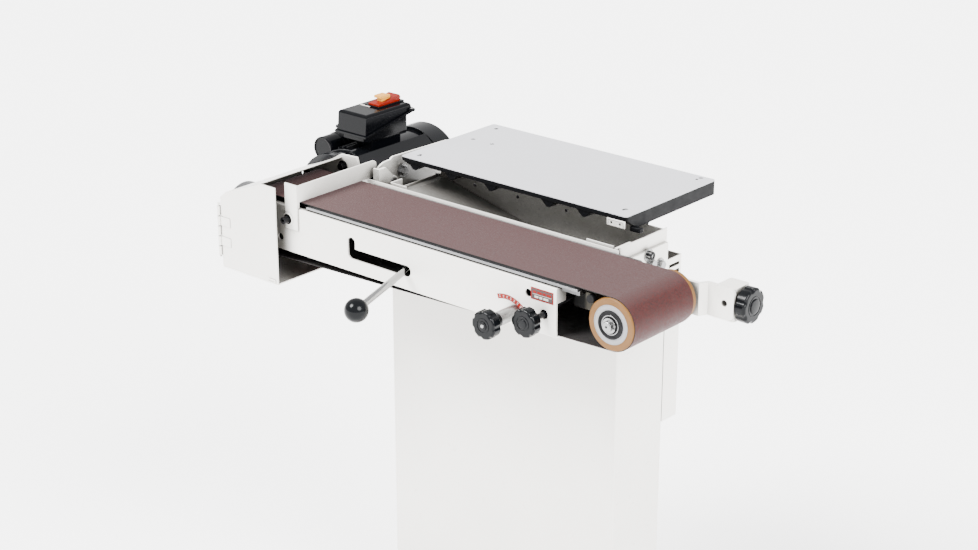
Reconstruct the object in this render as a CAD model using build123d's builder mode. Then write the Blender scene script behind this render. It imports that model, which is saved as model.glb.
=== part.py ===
"""Six-inch edge sander on a cabinet stand, with its sanding head tilted back flat.

Millimetres, +Z up. The origin is the centre of the four floor bolts, on the floor. +X runs along the
belt from the motor to the idler roller, and +Y runs across it, from the head to the work table.
"""

from build123d import *
import math
import os

os.makedirs("parts", exist_ok=True)

# ---- driving dimensions ----------------------------------------------------------------------
IDLER_X = 374.0          # idler roller axis from the origin
PANEL_Y = -246.0         # outer face of the head's front panel
IDLER_Z = 820.0          # idler roller axis above the floor
FLOOR = -IDLER_Z         # the floor, measured from the datum

SHEET = 2.5              # folded cabinet sheet
PANEL_T = 3.0            # head side plates
RUN = 0.3                # gap between curved faces that pass each other
FIT = 0.04               # radial clearance of a shaft in its bore
BOLT_HEAD = 7.0

IDLER_R = 43.5
DRIVE_R = 56.0
CENTRES = 780.0          # idler axis to drive axis
DRIVE = (-CENTRES, IDLER_R - DRIVE_R)
ROLLER_Y = (6.0, 172.0)
BELT_Y = (9.0, 162.0)
BELT_T = 1.2

PANEL_X = (-741.0, -103.0)
PANEL_Z = (-50.0, 35.0)
BACK_Y = (174.0, 177.0)
PIVOT = (215.0, 37.0)    # tilt axis, y and z from the datum
PIVOT_R = 8.0
CLEAR_R = 34.0           # stand parts beside the head stay inside this radius of the tilt axis

CAB_X = (-631.0, -116.0)
CAB_Y = (180.0, 312.0)
CAB_RIM = 49.0
BASE_T = 10.0
BASE_X = (-684.0, -64.0)
BASE_Y = (16.0, 476.0)
ANCHOR_SPACING = (560.0, 400.0)
ANCHOR_R = 6.5

TABLE_X = (-647.0, -139.0)
TABLE_Y = (226.0, 483.0)
TABLE_TOP = 85.0
TABLE_DEEP = 26.0
GUIDE_X = (-470.0, -236.0)

HOOD_X = (-854.0, -712.0)
HOOD_Y = (-22.0, 177.0)
HOOD_OUTLINE = [(-854, -107.6), (-854, 25), (-839, 37.6), (-747.5, 72.8)]
DOOR_T = 2.4
PORT = (72.0, -30.0)     # dust port centre, y and z
PORT_R = 50.0

LEVER_PIVOT = (-476.0, 140.0)
LEVER_Z = -16.0
LEVER_R = 6.0
LEVER_BALL = (-367.0, -179.0)
CAM_R = 22.0
CAM_THROW = 10.0

TRACK_KNOB = (-188.0, -26.0)
LOCK_KNOB = (-128.0, -14.5)
MOTOR_R = 78.0
MOTOR_Y = (183.0, 400.0)


# ---- helpers: every place is given from the datum at the idler axis and the panel's outer face
def at(x, y, z):
    """The point x, y, z from the datum, in the part's own frame."""
    return (IDLER_X + x, PANEL_Y + y, IDLER_Z + z)


def block(x, y, z, mode=Mode.ADD):
    """A box between three pairs of limits."""
    with Locations(at((x[0] + x[1]) / 2, (y[0] + y[1]) / 2, (z[0] + z[1]) / 2)):
        Box(x[1] - x[0], y[1] - y[0], z[1] - z[0], mode=mode)


def rod_x(y, z, radius, span, mode=Mode.ADD):
    """A cylinder along X over span."""
    with Locations(at((span[0] + span[1]) / 2, y, z)):
        Cylinder(radius, span[1] - span[0], rotation=(0, 90, 0), mode=mode)


def rod_y(x, z, radius, span, mode=Mode.ADD):
    """A cylinder along Y over span."""
    with Locations(at(x, (span[0] + span[1]) / 2, z)):
        Cylinder(radius, span[1] - span[0], rotation=(90, 0, 0), mode=mode)


def rod_z(x, y, radius, span, mode=Mode.ADD):
    """A cylinder along Z over span."""
    with Locations(at(x, y, (span[0] + span[1]) / 2)):
        Cylinder(radius, span[1] - span[0], mode=mode)


def facing_front(y):
    """A plane across Y: its x is X, its y is Z, and it extrudes towards the front, -Y."""
    return Plane(origin=at(0, y, 0), x_dir=(1, 0, 0), z_dir=(0, -1, 0))


def facing_right(x):
    """A plane across X: its x is Y, its y is Z, and it extrudes towards +X."""
    return Plane(origin=at(x, 0, 0), x_dir=(0, 1, 0), z_dir=(1, 0, 0))


def hex_bolt_x(y, z, face, out, size=13.0):
    """A hex head and washer lying on the face at x = face, standing out towards +X (1) or -X (-1)."""
    rod_x(y, z, size * 0.85, sorted((face, face + 2 * out)))
    plane = Plane(origin=at(face + 2 * out, y, z), x_dir=(0, 1, 0), z_dir=(out, 0, 0))
    with BuildSketch(plane) as head:
        RegularPolygon(size / 2, 6, major_radius=False)
    extrude(head.sketch, amount=BOLT_HEAD)


def hex_bolt_y(x, z, face, out, size=13.0):
    """A hex head and washer lying on the face at y = face, standing out towards +Y (1) or -Y (-1)."""
    rod_y(x, z, size * 0.85, sorted((face, face + 2 * out)))
    plane = Plane(origin=at(x, face + 2 * out, z), x_dir=(1, 0, 0), z_dir=(0, out, 0))
    with BuildSketch(plane) as head:
        RegularPolygon(size / 2, 6, major_radius=False)
    extrude(head.sketch, amount=BOLT_HEAD)


def save(builder, name):
    """Labels a finished sub-part and writes its file."""
    builder.part.label = name
    export_step(builder.part, f"parts/{name}.step")


def belt_loop(idler_r, drive_r, mode=Mode.ADD):
    """The outline that wraps both rollers, for the current sketch on a plane across Y."""
    dx, dz = DRIVE
    reach = math.hypot(dx, dz)
    heading = math.atan2(dz, dx)
    lean = math.acos((idler_r - drive_r) / reach)
    corners = []
    for side in (-1, 1):
        angle = heading + side * lean
        normal = (math.cos(angle), math.sin(angle))
        ends = [(idler_r * normal[0], idler_r * normal[1])]
        ends.append((dx + drive_r * normal[0], dz + drive_r * normal[1]))
        corners += ends if side < 0 else ends[::-1]
    with Locations((0, 0)):
        Circle(idler_r, mode=mode)
    with Locations(DRIVE):
        Circle(drive_r, mode=mode)
    Polygon(*corners, align=None, mode=mode)


def lobed_knob(origin, outward, across, radius, thick, stud_r, stud):
    """A seven-lobed hand knob: origin its back's centre, outward its axis, stud the shaft behind."""
    face = Plane(origin=origin, x_dir=across, z_dir=outward)
    with BuildPart() as knob:
        with BuildSketch(face):
            Circle(radius)
            with PolarLocations(radius * 1.22, 7):
                Circle(radius * 0.30, mode=Mode.SUBTRACT)
        extrude(amount=thick)
        top = knob.faces().sort_by(Axis(origin, outward))[-1]
        fillet(top.edges(), radius * 0.16)
        with BuildSketch(face):
            Circle(radius * 0.45)
        extrude(amount=-6)
        with BuildSketch(face.offset(-6)):
            Circle(stud_r)
        extrude(amount=-stud)
    return knob


# ---- stand -----------------------------------------------------------------------------------
BASE_C = ((BASE_X[0] + BASE_X[1]) / 2, (BASE_Y[0] + BASE_Y[1]) / 2)
with BuildPart() as base_plate:
    block(BASE_X, BASE_Y, (FLOOR, FLOOR + BASE_T))
    fillet(base_plate.edges().filter_by(Axis.Z), 22)
    top = Plane(origin=at(*BASE_C, FLOOR + BASE_T))
    with Locations(top):
        with GridLocations(*ANCHOR_SPACING, 2, 2):
            Hole(ANCHOR_R)
    chamfer(base_plate.faces().sort_by(Axis.Z)[-1].edges(), 1.5)
save(base_plate, "base_plate")

WALL_FOOT = FLOOR + BASE_T
with BuildPart() as pedestal:
    block(CAB_X, CAB_Y, (WALL_FOOT, CAB_RIM))
    inside_x = (CAB_X[0] + SHEET, CAB_X[1] - SHEET)
    inside_y = (CAB_Y[0] + SHEET, CAB_Y[1] - SHEET)
    fillet(pedestal.edges().filter_by(Axis.Z), 3)
    block(inside_x, inside_y, (WALL_FOOT + SHEET, CAB_RIM + 1), Mode.SUBTRACT)
    # the front wall dips between its two end ledges, and stops short of the right wall for the lug
    block((-592, -186), (CAB_Y[0] - 1, CAB_Y[0] + 6), (38, CAB_RIM + 1), Mode.SUBTRACT)
    block((-130, CAB_X[1] - SHEET), (CAB_Y[0] - 1, CAB_Y[0] + 6), (12, CAB_RIM + 1), Mode.SUBTRACT)
    # the rear and left walls are lower
    block((CAB_X[0] - 1, CAB_X[1] - SHEET), (CAB_Y[1] - 6, CAB_Y[1] + 1), (45, CAB_RIM + 1), Mode.SUBTRACT)
    block((CAB_X[0] - 1, CAB_X[0] + 6), (CAB_Y[0] + 30, CAB_Y[1] + 1), (34, CAB_RIM + 1), Mode.SUBTRACT)
save(pedestal, "pedestal")

with BuildPart() as gussets:
    for side, reach in ((CAB_Y[0], -110), (CAB_Y[1], 110)):
        for x in (-560, -190):
            with BuildSketch(facing_right(x - 3)):
                with BuildLine():
                    Polyline(
                        (side, WALL_FOOT), (side + reach, WALL_FOOT), (side + reach, WALL_FOOT + 12),
                        (side, WALL_FOOT + 130), close=True,
                    )
                make_face()
            extrude(amount=6)
save(gussets, "gussets")

with BuildPart() as dust_pan:
    with BuildSketch(facing_front(CAB_Y[1] - SHEET - 0.5)):
        with BuildLine():
            Polyline(
                (-628, 30), (-612, 30), (-200, -64), (-119, -64), (-119, -66), (-200.5, -66),
                (-612.6, 28), (-628, 28), close=True,
            )
        make_face()
    extrude(amount=CAB_Y[1] - CAB_Y[0] - 2 * SHEET - 1)
save(dust_pan, "dust_pan")

BOX_Y = (CAB_Y[1], 354.0)
BOX_Z = (-310.0, -10.0)
with BuildPart() as rear_box:
    block(CAB_X, BOX_Y, BOX_Z)
    inside_x = (CAB_X[0] + 2, CAB_X[1] - 2)
    block(inside_x, (BOX_Y[0] + 2, BOX_Y[1] - 2), (BOX_Z[0] + 2, BOX_Z[1] + 1), Mode.SUBTRACT)
    # vent slots through both end walls
    slot_x = (CAB_X[0] - 1, CAB_X[1] + 1)
    for top in (BOX_Z[1] - 11, BOX_Z[1] - 24):
        block(slot_x, (BOX_Y[0] + 7, BOX_Y[1] - 5), (top - 6, top), Mode.SUBTRACT)
save(rear_box, "rear_box")

END_PLATE_X = (-676.0, -672.0)
with BuildPart() as end_plate_left:
    with BuildSketch(facing_right(END_PLATE_X[0])):
        with BuildLine():
            shoulder = math.sqrt(CLEAR_R**2 - (PIVOT[0] - 184) ** 2)
            RadiusArc((184, PIVOT[1] + shoulder), (PIVOT[0], PIVOT[1] + CLEAR_R), CLEAR_R)
            Polyline(
                (PIVOT[0], PIVOT[1] + CLEAR_R), (226, 72), (232, 76), (380, 72.5), (380, 20),
                (330, -60), (184, -60), (184, PIVOT[1] + shoulder),
            )
        make_face()
    extrude(amount=END_PLATE_X[1] - END_PLATE_X[0])
    rod_x(*PIVOT, PIVOT_R + FIT, (-680, -668), Mode.SUBTRACT)
    # outrigger that joins the plate to the cabinet
    block((END_PLATE_X[1], CAB_X[0]), (196, 300), (-60, 14))
    block((END_PLATE_X[1], CAB_X[0]), (199, 297), (-57, 11), Mode.SUBTRACT)
save(end_plate_left, "end_plate_left")

LUG_LEFT = (-661.0, -655.0)
LUG_RIGHT = (-125.0, -120.0)
with BuildPart() as pivot_pins:
    rod_x(*PIVOT, PIVOT_R, (END_PLATE_X[0] - 3, LUG_LEFT[1] + 2))
    rod_x(*PIVOT, 12, (END_PLATE_X[0] - 7, END_PLATE_X[0] - 3))
    rod_x(*PIVOT, PIVOT_R, (LUG_RIGHT[0] - 2, CAB_X[1] - SHEET))
save(pivot_pins, "pivot_pins")

with BuildPart() as frame_bolts:
    hex_bolt_x(256, 44, END_PLATE_X[1], 1, 15)
    # three hold the end bracket to the cabinet's right wall
    for y, z in ((250, 19), (257, 2), (283, -7)):
        hex_bolt_x(y, z, CAB_X[1] + 6, 1)
    for y in (214, 282):
        hex_bolt_x(y, -36, END_PLATE_X[0], -1)
save(frame_bolts, "frame_bolts")

BAR_Z = (-30.0, 26.0)
with BuildPart() as end_bracket:
    with BuildSketch(Plane(origin=at(0, 0, BAR_Z[0]))):
        with BuildLine():
            Polyline(
                (-116, 306), (-110, 306), (-110, 190), (36, 190), (44, 204), (97, 204),
                (97, 198), (47.5, 198), (39.5, 184), (-116, 184), close=True,
            )
        make_face()
    extrude(amount=BAR_Z[1] - BAR_Z[0])
    fillet(end_bracket.edges().filter_by(Axis.Y).sort_by(Axis.X)[-2:], 12)
    rod_y(79, -2, 5.5, (190, 212), Mode.SUBTRACT)
save(end_bracket, "end_bracket")

CLAMP = (225.0, -5.0)    # end knob's axis, y and z
with BuildPart() as end_post_block:
    block((58, 94.5), (204, 246), (-33, 23))
    fillet(end_post_block.edges().filter_by(Axis.Z), 4)
    rod_x(*CLAMP, 4 + FIT, (80, 96), Mode.SUBTRACT)
    rod_y(79, -2, 5.5, (200, 209), Mode.SUBTRACT)
save(end_post_block, "end_post_block")

knob = lobed_knob(at(101, *CLAMP), (1, 0, 0), (0, 1, 0), 30, 18, 4, 6)
save(knob, "end_knob")

GUIDE_Y = (354.0, 360.0)
with BuildPart() as table_guides:
    for x in GUIDE_X:
        block((x - 22, x + 22), GUIDE_Y, (-300, -14))
        rod_y(x, -60, 5 + FIT, (350, 364), Mode.SUBTRACT)
save(table_guides, "table_guides")

RISER_Y = (360.0, 366.0)
with BuildPart() as table_arms:
    for x in GUIDE_X:
        block((x - 19, x + 19), RISER_Y, (-150, 59))
        block((x - 19, x + 19), (RISER_Y[1], 440), (53, 59))
        with BuildSketch(facing_front(RISER_Y[1])):
            with Locations((x, -70)):
                SlotOverall(80, 12, rotation=90)
        extrude(amount=8, mode=Mode.SUBTRACT)
        for side in (-19, 15):
            with BuildSketch(facing_right(x + side)):
                with BuildLine():
                    Polyline((RISER_Y[1], 53), (430, 53), (RISER_Y[1], -30), close=True)
                make_face()
            extrude(amount=4)
save(table_arms, "table_arms")

for name, x in (("table_knob_left", GUIDE_X[0]), ("table_knob_right", GUIDE_X[1])):
    # the washer behind each knob bears on the arm
    knob = lobed_knob(at(x, 373, -60), (0, 1, 0), (1, 0, 0), 24, 16, 5, 10)
    save(knob, name)

with BuildPart() as table_casting:
    block(TABLE_X, TABLE_Y, (TABLE_TOP - TABLE_DEEP, TABLE_TOP - 1.5))
    fillet(table_casting.edges().filter_by(Axis.Z), 6)
    # hollow underneath, with an edge that thins towards the belt
    hollow_x = (TABLE_X[0] + 10, TABLE_X[1] - 10)
    block(hollow_x, (TABLE_Y[0] - 1, TABLE_Y[1] - 10), (50, TABLE_TOP - 9), Mode.SUBTRACT)
    for x in (TABLE_X[0], TABLE_X[1] - 10):
        with BuildSketch(facing_right(x - 1)):
            with BuildLine():
                Polyline((225, 50), (225, 78), (229, 77), (253, 59), (253, 50), close=True)
            make_face()
        extrude(amount=12, mode=Mode.SUBTRACT)
    # ribs of vee section that run from the front edge to the back
    for x in (-615, -527, -436, -307, -230, -160):
        with BuildSketch(facing_front(474)):
            with BuildLine():
                Polyline((x - 17, 76.5), (x + 17, 76.5), (x + 3, 64), (x - 3, 64), close=True)
            make_face()
        extrude(amount=246)
    for x in GUIDE_X:
        block((x - 24, x + 24), (350, 470), (TABLE_TOP - TABLE_DEEP, 76))
save(table_casting, "table_casting")

with BuildPart() as table_face:
    block(TABLE_X, TABLE_Y, (TABLE_TOP - 1.5, TABLE_TOP))
    fillet(table_face.edges().filter_by(Axis.Z), 6)
    for x, y in ((-623, 462), (-613, 385), (-567, 385), (-622, 248), (-164, 473), (-164, 257)):
        rod_z(x, y, 4.2, (80, 90), Mode.SUBTRACT)
save(table_face, "table_face")

with BuildPart() as table_screws:
    for x, y in ((-623, 462), (-613, 385), (-567, 385), (-622, 248), (-164, 473), (-164, 257)):
        rod_z(x, y, 4, (TABLE_TOP - 1.5, TABLE_TOP - 0.3))
        with BuildSketch(Plane(origin=at(x, y, TABLE_TOP - 0.3))):
            RegularPolygon(1.6, 6)
        extrude(amount=-0.9, mode=Mode.SUBTRACT)
save(table_screws, "table_screws")

# ---- head frame --------------------------------------------------------------------------------
with BuildPart() as front_panel:
    with BuildSketch(facing_right(PANEL_X[0])):
        with BuildLine():
            Polyline(
                (0, -50), (0, 35), (9, 35), (9, 32), (3, 32), (3, -47), (8, -47), (8, -50), close=True,
            )
        make_face()
    extrude(amount=PANEL_X[1] - PANEL_X[0])
    outer = front_panel.edges().filter_by(Axis.X).group_by(Axis.Y)[0]
    fillet(outer, 2.5)
    # the lower lip is only at the right end
    block((PANEL_X[0] - 1, -150), (3, 20), (-51, -40), Mode.SUBTRACT)
    # folded return at the right end
    block((PANEL_X[1] - 3, PANEL_X[1]), (3, 24), (9, 32))
    # lever slot with its parking notch
    with BuildSketch(facing_front(4)):
        with Locations((-488, LEVER_Z)):
            SlotOverall(146, 19)
        with Locations((-552.5, LEVER_Z + 10)):
            SlotOverall(38, 17, rotation=90)
    extrude(amount=8, mode=Mode.SUBTRACT)
    for x, z, r in ((-160, 14, 6.5), (-727, -26.5, 6.5), (*LOCK_KNOB, 8), (*TRACK_KNOB, 6.5)):
        rod_y(x, z, r, (-2, 5), Mode.SUBTRACT)
save(front_panel, "front_panel")

with BuildPart() as back_plate:
    block((-700, -116), BACK_Y, (-48, 46))
    rod_y(-160, 14, 6, (170, 180), Mode.SUBTRACT)
save(back_plate, "back_plate")

with BuildPart() as cross_tubes:
    for x in (-640, -330, -230):
        block((x - 15, x + 15), (PANEL_T, BACK_Y[0]), (6, 38))
        block((x - 12, x + 12), (PANEL_T, BACK_Y[0]), (9, 35), Mode.SUBTRACT)
        block((x - 15, x + 15), (PANEL_T, 9.2), (31.8, 38), Mode.SUBTRACT)
save(cross_tubes, "cross_tubes")

PLATEN_X = (-664.0, -64.0)
with BuildPart() as platen:
    block(PLATEN_X, (3.2, 172), (38, 42.2))
    fillet(platen.edges().filter_by(Axis.Y).group_by(Axis.Z)[-1], 3)
    block((-100, -65), (10, 160), (30, 38))
save(platen, "platen")

with BuildPart() as graphite_pad:
    block((-656, -74), BELT_Y, (42.2, 43.2))
save(graphite_pad, "graphite_pad")

with BuildPart() as sanding_belt:
    with BuildSketch(facing_front(BELT_Y[1])):
        belt_loop(IDLER_R + RUN + BELT_T, DRIVE_R + RUN + BELT_T)
        belt_loop(IDLER_R + RUN, DRIVE_R + RUN, Mode.SUBTRACT)
    extrude(amount=BELT_Y[1] - BELT_Y[0])
save(sanding_belt, "sanding_belt")

with BuildPart() as pivot_lugs:
    for span, top in ((LUG_LEFT, 68), (LUG_RIGHT, 48)):
        with BuildSketch(facing_right(span[0])):
            with BuildLine():
                Polyline(
                    (177, 18), (177, top), (196, top), (PIVOT[0], PIVOT[1] + 11),
                    (PIVOT[0], PIVOT[1] - 11), close=True,
                )
            make_face()
            with Locations(PIVOT):
                Circle(11)
                Circle(PIVOT_R + FIT, mode=Mode.SUBTRACT)
        extrude(amount=span[1] - span[0])
    # the left lug's foot, which lies on the back of the head
    block((-669, LUG_LEFT[0]), (177, 181), (18, 68))
save(pivot_lugs, "pivot_lugs")

STOP_X = (-683.0, -680.0)
with BuildPart() as work_stop:
    block(STOP_X, (-3, 197), (47, 77))
    fillet(work_stop.edges().filter_by(Axis.X).sort_by(Axis.Y)[-2:], 8)
    block((-710, STOP_X[1]), (-3, 0), (-5, 78))
    block(STOP_X, (-3, 3), (36, 60))
    rod_y(-703, 12.7, 5, (-5, 2), Mode.SUBTRACT)
    rod_x(186, 62, 2.5, (-686, -676), Mode.SUBTRACT)
save(work_stop, "work_stop")

# ---- belt tension ------------------------------------------------------------------------------
with BuildPart() as lever_mount:
    block((-512, -440), (PANEL_T, BACK_Y[0]), (-38, -33))
    rod_z(*LEVER_PIVOT, 5, (-33, -2))
save(lever_mount, "lever_mount")

lever_angle = math.degrees(math.atan2(LEVER_BALL[1] - LEVER_PIVOT[1], LEVER_BALL[0] - LEVER_PIVOT[0]))
lever_reach = math.hypot(LEVER_BALL[1] - LEVER_PIVOT[1], LEVER_BALL[0] - LEVER_PIVOT[0])
with BuildPart() as tension_lever:
    rod_z(*LEVER_PIVOT, 17, (-25.5, -6))
    rod_z(LEVER_PIVOT[0] + CAM_THROW, LEVER_PIVOT[1], CAM_R, (-32.5, -25.5))
    along = (math.cos(math.radians(lever_angle)), math.sin(math.radians(lever_angle)), 0)
    with BuildSketch(Plane(origin=at(*LEVER_PIVOT, LEVER_Z), x_dir=(0, 0, 1), z_dir=along)):
        Circle(LEVER_R)
    extrude(amount=lever_reach)
    rod_z(*LEVER_PIVOT, 5 + FIT, (-40, 0), Mode.SUBTRACT)
save(tension_lever, "tension_lever")

with BuildPart() as lever_ball:
    with Locations(at(*LEVER_BALL, LEVER_Z)):
        Sphere(20)
    with BuildSketch(Plane(origin=at(*LEVER_PIVOT, LEVER_Z), x_dir=(0, 0, 1), z_dir=along)):
        Circle(LEVER_R)
    extrude(amount=lever_reach, mode=Mode.SUBTRACT)
save(lever_ball, "lever_ball")

PUSH_Z = -29.0
with BuildPart() as spring_anchor:
    block((-285, -265), (100, BACK_Y[0]), (-38, 4))
    rod_x(LEVER_PIVOT[1], PUSH_Z, 4.6, (-290, -260), Mode.SUBTRACT)
    rod_x(LEVER_PIVOT[1], PUSH_Z, 8.2, (-272, -260), Mode.SUBTRACT)
save(spring_anchor, "spring_anchor")

ARM_X = (-100.0, 16.0)
ARM_Y = (174.0, 180.0)
with BuildPart() as idler_carrier:
    # sliding block, web and arm
    block((-190, -84), (100, 166), (-34, 22))
    block((ARM_X[0], -84), (166, ARM_Y[1]), (-20, 20))
    block(ARM_X, ARM_Y, (-20, 20))
    rod_y(0, 0, 20, ARM_Y)
    rod_y(0, 0, 10, (160, 190), Mode.SUBTRACT)
    # push rod that follows the cam
    cam_face = LEVER_PIVOT[0] + CAM_THROW + CAM_R
    rod_x(LEVER_PIVOT[1], PUSH_Z, 4, (cam_face + 2, -190))
    # front cheek with its bumper seat
    block((-98, -60), (40, 100), (-4, 28))
    block((-98, -84), (90, 102), (-4, 22))
    block((-60, -44), (20, 60), (24, 35))
save(idler_carrier, "idler_carrier")

with BuildPart() as carrier_bumper:
    rod_y(-46, 29, 7, (12, 20))
    rod_y(-112, 4, 4, (14, 100))
save(carrier_bumper, "carrier_bumper")

with BuildPart() as tension_spring:
    coils = 9
    for turn in range(coils):
        with Locations(Location(at(-266 + turn * 9, LEVER_PIVOT[1], PUSH_Z), (0, 90, 0))):
            Torus(6.4, 1.1)
save(tension_spring, "tension_spring")

# ---- rollers -----------------------------------------------------------------------------------
with BuildPart() as idler_shaft:
    rod_y(0, 0, 10, (2.5, ARM_Y[1]))
    rod_y(0, 0, 8.5, (-6, 2.5))
    chamfer(idler_shaft.edges().group_by(Axis.Y)[0], 1)
    rod_y(0, 0, 2, (-7, 2), Mode.SUBTRACT)
save(idler_shaft, "idler_shaft")

with BuildPart() as idler_circlip:
    rod_y(0, 0, 12.5, (0.6, 2.0))
    rod_y(0, 0, 8.5, (0, 3), Mode.SUBTRACT)
    block((4, 16), (0, 3), (-3, 3), Mode.SUBTRACT)
save(idler_circlip, "idler_circlip")

BEARING_R = 23.5
with BuildPart() as idler_bearings:
    for y0 in (4.0, 154.0):
        rod_y(0, 0, BEARING_R, (y0, y0 + 14))
        rod_y(0, 0, 10 + FIT, (y0 - 1, y0 + 15), Mode.SUBTRACT)
    # the seal sits below the two races
    rod_y(0, 0, 20.5, (3, 4.8), Mode.SUBTRACT)
    rod_y(0, 0, 13.5, (4, 5))
    rod_y(0, 0, 10 + FIT, (3, 5), Mode.SUBTRACT)
save(idler_bearings, "idler_bearings")

with BuildPart() as idler_hub:
    rod_y(0, 0, 32.5, ROLLER_Y)
    rod_y(0, 0, BEARING_R, (ROLLER_Y[0] - 1, 23), Mode.SUBTRACT)
    rod_y(0, 0, BEARING_R, (154, ROLLER_Y[1] + 1), Mode.SUBTRACT)
    rod_y(0, 0, 18, ROLLER_Y, Mode.SUBTRACT)
save(idler_hub, "idler_hub")

with BuildPart() as idler_sleeve:
    rod_y(0, 0, IDLER_R, ROLLER_Y)
    chamfer(idler_sleeve.edges(), 1.5)
    rod_y(0, 0, 32.5, (ROLLER_Y[0] - 1, ROLLER_Y[1] + 1), Mode.SUBTRACT)
save(idler_sleeve, "idler_sleeve")

with BuildPart() as drive_core:
    rod_y(*DRIVE, 50, (8, 170))
    rod_y(*DRIVE, 12, (0, 180), Mode.SUBTRACT)
    rod_y(*DRIVE, 38, (4, 40), Mode.SUBTRACT)
    rod_y(*DRIVE, 22, (10, 42))
    rod_y(*DRIVE, 12, (0, 180), Mode.SUBTRACT)
save(drive_core, "drive_core")

with BuildPart() as drive_lagging:
    rod_y(*DRIVE, DRIVE_R, (8, 170))
    rod_y(*DRIVE, 50, (0, 180), Mode.SUBTRACT)
save(drive_lagging, "drive_lagging")

# ---- motor ---------------------------------------------------------------------------------------
with BuildPart() as motor_plate:
    with BuildSketch(facing_front(MOTOR_Y[0])):
        with BuildLine():
            Polyline(
                (-850, -104), (-850, 25), (-836, 36), (-770, 66), (-752, 77), (-712, 79),
                (-703, 54), (-703, 34), (-684, 30), (-684, -60), (-703, -104), close=True,
            )
        make_face()
    extrude(amount=6)
    rod_y(*DRIVE, 14, (170, 190), Mode.SUBTRACT)
save(motor_plate, "motor_plate")

with BuildPart() as motor_housing:
    rod_y(*DRIVE, MOTOR_R, (196, MOTOR_Y[1]))
    rod_y(*DRIVE, MOTOR_R + 3, (MOTOR_Y[0], 198))
    rod_y(*DRIVE, MOTOR_R - 5, (192, MOTOR_Y[1] + 1), Mode.SUBTRACT)
    rod_y(*DRIVE, 12.5, (180, 200), Mode.SUBTRACT)
    # rail along the upper right flank
    with BuildSketch(facing_front(385)):
        with Locations(Location((DRIVE[0] + 54, DRIVE[1] + 66, 0), (0, 0, -39))):
            Rectangle(34, 18)
    extrude(amount=185)
    rod_y(*DRIVE, MOTOR_R - 5, (198, MOTOR_Y[1] + 1), Mode.SUBTRACT)
save(motor_housing, "motor_housing")

with BuildPart() as motor_fan_cover:
    rod_y(*DRIVE, MOTOR_R + 6, (MOTOR_Y[1], 450))
    fillet(motor_fan_cover.edges().group_by(Axis.Y)[-1], 10)
    rod_y(*DRIVE, MOTOR_R - 2, (MOTOR_Y[1] - 1, 446), Mode.SUBTRACT)
    with BuildSketch(Plane(origin=at(DRIVE[0], 452, DRIVE[1]), x_dir=(1, 0, 0), z_dir=(0, 1, 0))):
        with PolarLocations(42, 16):
            SlotOverall(34, 6)
    extrude(amount=-10, mode=Mode.SUBTRACT)
save(motor_fan_cover, "motor_fan_cover")

with BuildPart() as motor_stator:
    rod_y(*DRIVE, MOTOR_R - 5, (235, 345))
    rod_y(*DRIVE, 42, (230, 350), Mode.SUBTRACT)
save(motor_stator, "motor_stator")

with BuildPart() as motor_rotor:
    rod_y(*DRIVE, 12, (10, 440))
    rod_y(*DRIVE, 40, (238, 342))
    rod_y(*DRIVE, 18, (5, 10))
save(motor_rotor, "motor_rotor")

with BuildPart() as motor_fan:
    rod_y(*DRIVE, 22, (412, 436))
    for turn in range(7):
        angle = turn * 360 / 7
        with Locations(Location(at(DRIVE[0], 424, DRIVE[1]), (0, angle, 0))):
            with Locations((43, 0, 0)):
                Box(46, 22, 3)
    rod_y(*DRIVE, 12, (400, 445), Mode.SUBTRACT)
save(motor_fan, "motor_fan")

CAP = (-841.0, 58.0)
with BuildPart() as capacitor:
    rod_y(*CAP, 23, (222, 310))
    fillet(capacitor.edges().group_by(Axis.Y)[0], 4)
    fillet(capacitor.edges().group_by(Axis.Y)[-1], 4)
    rod_y(*DRIVE, MOTOR_R + 0.1, (210, 320), Mode.SUBTRACT)
save(capacitor, "capacitor")

with BuildPart() as head_bolts:
    rod_y(-703, 12.7, 9, (-5, -3))
    rod_y(-703, 12.7, 6.5, (-16, -5))
    with BuildSketch(facing_front(-16)):
        with Locations((-703, 12.7)):
            RegularPolygon(3.2, 6)
    extrude(amount=-5, mode=Mode.SUBTRACT)
    for z in (30, 56):
        hex_bolt_y(-665, z, 181, 1, 4.5)
    for angle in (30, 150, 210, 330):
        x = DRIVE[0] + 66 * math.cos(math.radians(angle))
        z = DRIVE[1] + 66 * math.sin(math.radians(angle))
        hex_bolt_y(x, z, BACK_Y[1], -1, 10)
    hex_bolt_y(-744, 57, BACK_Y[1], -1, 12)
save(head_bolts, "head_bolts")

LID_TOP = 138.0
LID_X = (-810.0, -739.0)
LID_Y = (231.0, 355.0)
SPLIT = (101.0, 125.0)   # height of the lid's lower edge at its front and at its back
TOGGLE = (-773.0, 318.0)


def along_split(grow, low, high):
    """A strip, in y and z, that follows the lid's sloped lower edge between two heights from it."""
    rise = (SPLIT[1] - SPLIT[0]) / (LID_Y[1] - LID_Y[0])
    front = (LID_Y[0] - grow, SPLIT[0] - rise * grow)
    back = (LID_Y[1] + grow, SPLIT[1] + rise * grow)
    return [
        (front[0], front[1] + low), (back[0], back[1] + low),
        (back[0], back[1] + high), (front[0], front[1] + high),
    ]


def switch_solid(profile, x, mode=Mode.ADD):
    """A y, z profile carried across X."""
    with BuildSketch(facing_right(x[0])) as face:
        with BuildLine():
            Polyline(*profile, close=True)
        make_face()
    extrude(face.sketch, amount=x[1] - x[0], mode=mode)


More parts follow.
